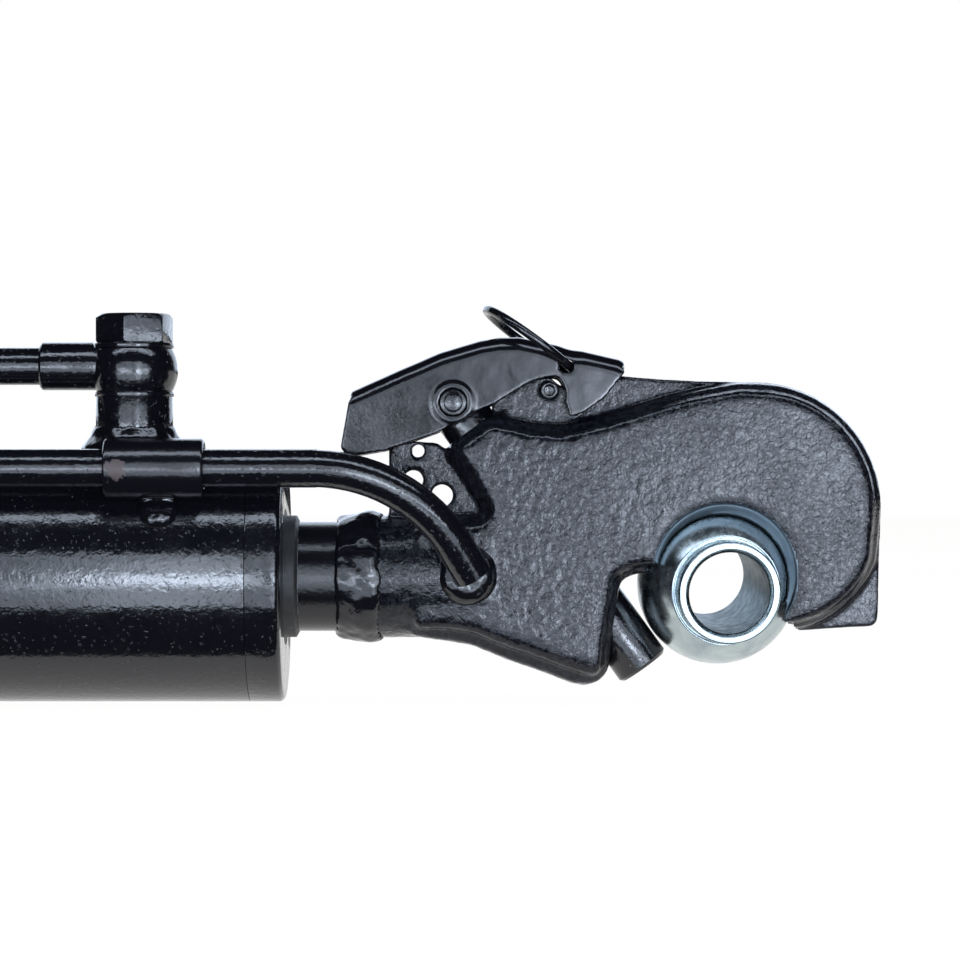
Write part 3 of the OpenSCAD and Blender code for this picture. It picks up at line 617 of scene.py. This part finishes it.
def lever():
    """The lever as one folded sheet: its long corners get the outer radius of the fold."""
    obj = copy_of("latch_lever", "latch_lever_sheet")
    corners = [Vector((v.co.x, v.co.z)) for v in obj.data.vertices]
    top = upper_edge(corners)
    half = max(abs(v.co.y) for v in obj.data.vertices if v.co.z > RIVET.z + 9 * MM)
    remesh(obj, 0.5 * MM)
    mesh = obj.data
    co = points(mesh)
    side = np.sign(co[:, 1])
    depth_top, out = distance_under(co, top)
    boss = np.hypot(co[:, 0] - RIVET.x, co[:, 2] - RIVET.z) < 7.5 * MM
    inward, sink = round_corner(half - np.abs(co[:, 1]), depth_top, 5.0 * MM)
    keep = np.where(boss, 0.0, 1.0)
    co[:, 1] -= side * inward * keep
    co[:, 0] -= out[:, 0] * sink * keep
    co[:, 2] -= out[:, 1] * sink * keep
    co = tighten(co, EYELET, EYELET_R, 2.3 * MM, 7 * MM)
    co = relax(mesh, co, 3)
    set_points(mesh, co)
    co = co + normals(mesh) * (0.05 * lumps(co, 7 * MM, 4) * MM)[:, None]
    set_points(mesh, co)
    stand_in(obj, "lever", "latch_lever", sheet_paint())


def tighten(co, eye, radius, smaller, reach):
    """Draws a hole's rim at (x, z) in from one radius to a smaller one, and nothing beyond its reach."""
    off = co[:, [0, 2]] - np.array(eye)
    away = np.hypot(off[:, 0], off[:, 1])
    target = np.interp(away, (radius, reach), (smaller, reach))
    near = (away > radius - 0.4 * MM) & (away < reach)
    scale = target[near] / away[near]
    co[near, 0] = eye[0] + off[near, 0] * scale
    co[near, 2] = eye[1] + off[near, 1] * scale
    return co


def upper_edge(flat):
    """The upper convex edge of points (x, z), from left to right, without its steep ends."""
    edge = []
    for p in sorted(flat, key=lambda p: (p.x, p.y)):
        while len(edge) > 1 and (edge[-1] - edge[-2]).cross(p - edge[-2]) >= 0:
            edge.pop()
        edge.append(p)
    while abs(edge[1].y - edge[0].y) > abs(edge[1].x - edge[0].x):
        edge.pop(0)
    while abs(edge[-1].y - edge[-2].y) > abs(edge[-1].x - edge[-2].x):
        edge.pop()
    return edge


def distance_under(co, edge):
    """Depth of each point under an edge, and the edge's outward direction there, as (x, z)."""
    flat = co[:, [0, 2]]
    best = np.full(len(co), np.inf)
    out = np.zeros_like(flat)
    for a, b in zip(edge, edge[1:]):
        along = np.array(b - a)
        length = np.linalg.norm(along)
        if length < 1e-5:
            continue
        along = along / length
        t = np.clip((flat - np.array(a)) @ along, 0, length)
        gap = np.linalg.norm(flat - np.array(a) - np.outer(t, along), axis=1)
        nearer = gap < best
        best[nearer] = gap[nearer]
        out[nearer] = np.array([-along[1], along[0]])
    return best, out


def weld(node, body, voxel, size, height, seed, grow=0.2 * MM, turns=9):
    """A weld bead with lumps and a rounded toe, in place of a plain CAD fillet."""
    obj = copy_of(node, node + "_bead")
    remesh(obj, voxel)
    mesh = obj.data
    co = relax(mesh, points(mesh), turns)
    set_points(mesh, co)
    rise = lumps(co, size, seed) + 0.35 * lumps(co, size / 2.5, seed + 1)
    co = co + normals(mesh) * (grow + height * rise)[:, None]
    set_points(mesh, co)
    stand_in(obj, body, node, WELD)


def lathe(name, profile, segments):
    """A turned ring from a closed profile of (radius, height) round Z, with shared corners."""
    work = bmesh.new()
    rings = []
    for k in range(segments):
        a = 2 * math.pi * k / segments
        rings.append([work.verts.new((r * math.cos(a), r * math.sin(a), h)) for r, h in profile])
    count = len(profile)
    for k in range(segments):
        here, there = rings[k], rings[(k + 1) % segments]
        for i in range(count):
            n = (i + 1) % count
            work.faces.new((here[i], there[i], there[n], here[n]))
    bmesh.ops.recalc_face_normals(work, faces=work.faces)
    mesh = bpy.data.meshes.new(name)
    work.to_mesh(mesh)
    work.free()
    mesh.polygons.foreach_set("use_smooth", [True] * len(mesh.polygons))
    obj = bpy.data.objects.new(name, mesh)
    bpy.context.scene.collection.objects.link(obj)
    return obj


def fillet(first, corner, last, radius, steps=4):
    """Points that round a profile's corner."""
    corner = Vector(corner)
    into, away = (Vector(first) - corner).normalized(), (Vector(last) - corner).normalized()
    start, end = corner + into * radius, corner + away * radius
    found = []
    for i in range(steps + 1):
        t = i / steps
        found.append(tuple(start * (1 - t) ** 2 + corner * 2 * t * (1 - t) + end * t ** 2))
    return found


def ball_profile():
    """Half a swivel ball's section in mm: sphere, thin groove, collar with eased edges, chamfered bore."""
    groove_r = COLLAR_R + 0.55
    rim = groove_r + 0.5
    path = [(BALL_R * math.cos(a), BALL_R * math.sin(a))
            for a in np.linspace(0, math.acos(rim / BALL_R), 40)[1:]]
    top = path[-1][1]
    floor = top - 1.3
    face = BALL_HALF - 0.1
    corners = [(groove_r, top), (groove_r, floor), (COLLAR_R, floor), (COLLAR_R, face),
               (BALL_BORE_R + 1.15, face), (BALL_BORE_R, face - 1.4), (BALL_BORE_R, 0)]
    roundings = (0.3, 0.15, 0.15, 0.75, 0.3, 0.35)
    for before, corner, after, radius in zip([path[-1]] + corners, corners, corners[1:], roundings):
        path += fillet(before, corner, after, radius)
    return path


def swivel_ball(node, body, axis):
    """A turned ball round its joint's axis, in place of the CAD ball."""
    side = ball_profile()
    mirrored = [(r, -h) for r, h in reversed(side)]
    profile = [(r * MM, h * MM) for r, h in [(BALL_R, 0)] + side + [(BALL_BORE_R, 0)] + mirrored]
    obj = lathe(node + "_turned", profile, 144)
    turn = Vector((0, 0, 1)).rotation_difference(axis)
    middle = centre(node)
    mesh = obj.data
    co = points(mesh)
    # Marks the bore, where the zinc finish paints shade as a darker colour
    inside = (np.hypot(co[:, 0], co[:, 1]) < (BALL_BORE_R + 0.1) * MM).astype(float)
    keep_attribute(mesh, "bore", inside)
    set_points(mesh, co @ np.array(turn.to_matrix()).T + np.array(middle))
    stand_in(obj, body, node, ZINC)


def joint_axis(name):
    for joint in frame["joints"]:
        if joint["name"] == name:
            return Vector(joint["axis"]).normalized()


# ---- CAD nodes that stay: soft edges and better materials ----

def smooth_by_angle():
    """A geometry node group that shades smooth everywhere but over sharp edges."""
    group = bpy.data.node_groups.new("smooth_by_angle", "GeometryNodeTree")
    group.interface.new_socket("Geometry", in_out="INPUT", socket_type="NodeSocketGeometry")
    group.interface.new_socket("Geometry", in_out="OUTPUT", socket_type="NodeSocketGeometry")
    start = group.nodes.new("NodeGroupInput")
    end = group.nodes.new("NodeGroupOutput")
    faces = group.nodes.new("GeometryNodeSetShadeSmooth")
    faces.domain = "FACE"
    edges = group.nodes.new("GeometryNodeSetShadeSmooth")
    edges.domain = "EDGE"
    edges.inputs["Shade Smooth"].default_value = False
    angle = group.nodes.new("GeometryNodeInputMeshEdgeAngle")
    sharp = group.nodes.new("FunctionNodeCompare")
    sharp.data_type = "FLOAT"
    sharp.operation = "GREATER_THAN"
    sharp.inputs[1].default_value = math.radians(28)
    group.links.new(start.outputs[0], faces.inputs["Geometry"])
    group.links.new(faces.outputs["Geometry"], edges.inputs["Geometry"])
    group.links.new(angle.outputs["Unsigned Angle"], sharp.inputs[0])
    group.links.new(sharp.outputs["Result"], edges.inputs["Selection"])
    group.links.new(edges.outputs["Geometry"], end.inputs[0])
    return group


def soften(node, width):
    """Rounds a CAD node's sharp edges by width, as paint and deburring do."""
    obj = NODES[node]
    custom = obj.data.attributes.get("custom_normal")
    if custom:
        obj.data.attributes.remove(custom)
    join = obj.modifiers.new("join", "WELD")
    join.merge_threshold = 1e-6
    flat = obj.modifiers.new("flat", "DECIMATE")
    flat.decimate_type = "DISSOLVE"
    flat.angle_limit = math.radians(0.6)
    if width:
        bevel = obj.modifiers.new("edge", "BEVEL")
        bevel.width = width
        bevel.segments = 2
        bevel.limit_method = "ANGLE"
        bevel.angle_limit = math.radians(28)
        bevel.use_clamp_overlap = True
    shade = obj.modifiers.new("shade", "NODES")
    shade.node_group = SHADE


def dress():
    """Gives every CAD node its finish, by the record's slot."""
    finishes = {
        "black_paint": gloss_paint(),
        "cast_paint": GLOSS,
        "sheet_paint": GLOSS,
        "seal_rubber": rubber(),
        "bronze": turned_steel("bronze", (0.42, 0.25, 0.10), 0.32),
        "plain_steel": turned_steel("plain_steel", (0.40, 0.40, 0.41), 0.34),
        "spring_steel": turned_steel("spring_steel", (0.30, 0.30, 0.32), 0.3),
        "zinc_plate": ZINC,
        "hard_chrome": rod_finish(),
    }
    for node, obj in NODES.items():
        for i, mat in enumerate(obj.data.materials):
            obj.data.materials[i] = finishes[mat.name.split(".")[0]]
    NODES["guide_sleeve"].data.materials[0] = chipped_paint("guide_sleeve")


add_camera()
add_floor()
add_lights()
add_world()
bpy.context.scene.view_settings.view_transform = "Standard"

GLOSS = gloss_paint("gloss_paint_smooth", 0.06, 0.02)
WELD = weld_paint()
SHADE = smooth_by_angle()
ZINC = zinc()
EDGES = {   # width of the rounding on a node's sharp edges, mm
    "barrel_tube": 0.5, "gland_head": 0.5, "rear_eye_cap": 0.6, "guide_sleeve": 0.45,
    "banjo_bolt": 0.35, "banjo_eye": 0.35, "banjo_washers": 0.2, "front_port_boss": 0.4,
    "lever_rivet": 0.4, "lug_pin": 0.25, "latch_bar": 0.3, "rod_wiper": 0.2,
    "valve_body": 0.6, "valve_plugs": 0.35, "valve_screws": 0.25, "valve_saddle": 0.4,
    "pipe_nut": 0.3, "grease_nipple": 0.15,
}
dress()
for name in NODES:
    soften(name, EDGES.get(name, 0.0) * MM)
hook()
lever()
weld("hook_weld", "rod", 0.5 * MM, 8.5 * MM, 0.8 * MM, 11, 0.35 * MM, 26)
weld("bar_weld", "rod", 0.4 * MM, 5 * MM, 0.4 * MM, 13)
weld("front_boss_weld", "barrel", 0.5 * MM, 6 * MM, 0.4 * MM, 17)
weld("sleeve_weld", "barrel", 0.35 * MM, 4 * MM, 0.3 * MM, 19)
swivel_ball("hook_ball", "hook_swivel", joint_axis("hook_ball_turn"))
swivel_ball("rear_ball", "tractor_swivel", joint_axis("tractor_ball_turn"))
